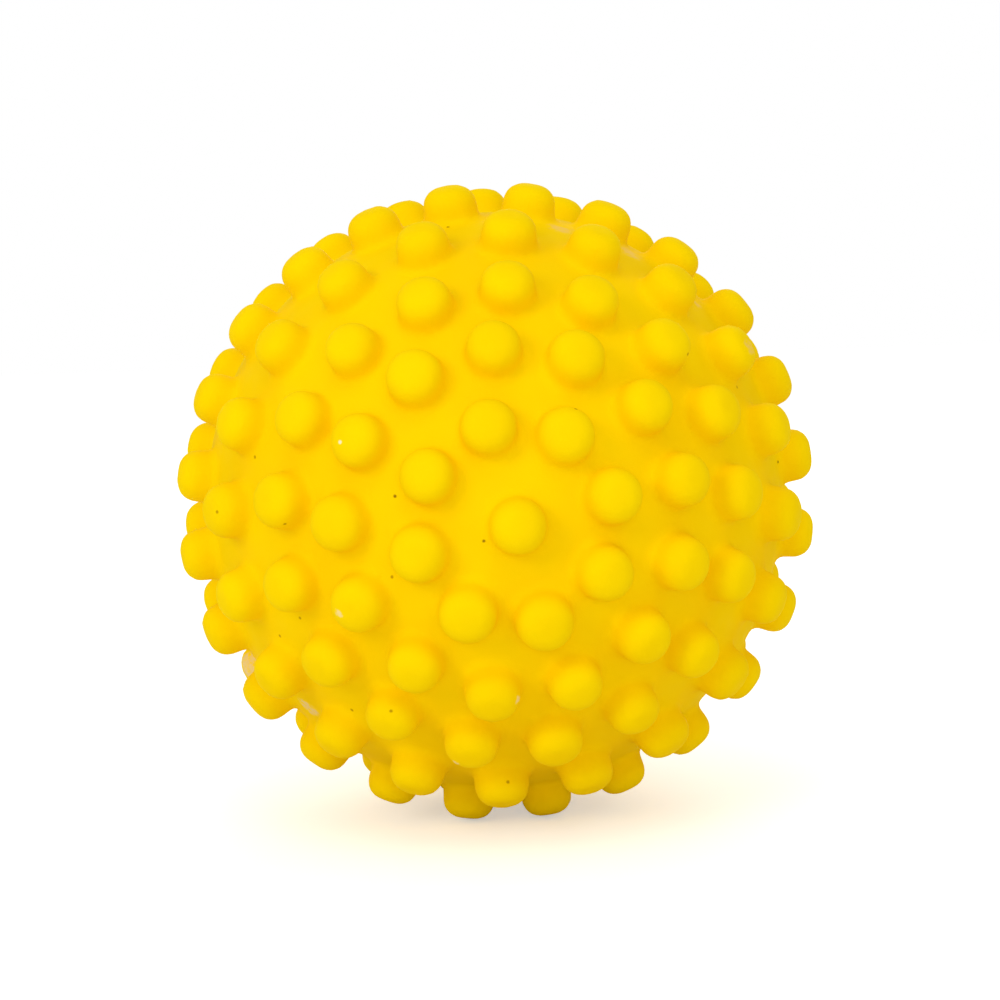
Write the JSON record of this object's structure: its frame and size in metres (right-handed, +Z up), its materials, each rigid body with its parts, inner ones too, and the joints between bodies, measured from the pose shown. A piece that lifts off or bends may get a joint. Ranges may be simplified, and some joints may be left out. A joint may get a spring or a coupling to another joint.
{
  "type": "sensory ball",
  "caption": "Hollow yellow rubber ball covered in rounded nubs, with a small reed squeaker at the rear pole, for a baby to grasp, squeeze and roll.",
  "frame": {"origin": "centre of the ball, where the axis through the two poles crosses the plane of the seam", "axes": "+Z up as the ball lies on the four nubs beside its seam; -Y out through the middle nub of the front pole; +Y out through the squeaker at the rear pole; +X to the right as seen from the front"},
  "size_m": [0.079, 0.0787, 0.0789],
  "materials": {
    "yellow_rubber": "satin",
    "rubber_cement": "matte",
    "ivory_plastic": "satin",
    "voice_plastic": "matte",
    "reed_film": "gloss"
  },
  "bodies": {
    "ball": {"front_half_shell": "yellow_rubber", "rear_half_shell": "yellow_rubber", "seam_bond": "rubber_cement", "squeaker_housing": "ivory_plastic", "reed_seat": "voice_plastic", "reed_wedge": "voice_plastic", "squeaker_cap": "ivory_plastic"},
    "reed": {"reed": "reed_film"}
  },
  "joints": [
    {"name": "reed_flex", "type": "hinge", "parent": "ball", "child": "reed", "pos_m": [0, 0.02557, 0], "axis": [1, 0, 0], "range_deg": [-4, 4], "stiffness_Nm_per_rad": 0.0002}
  ]
}
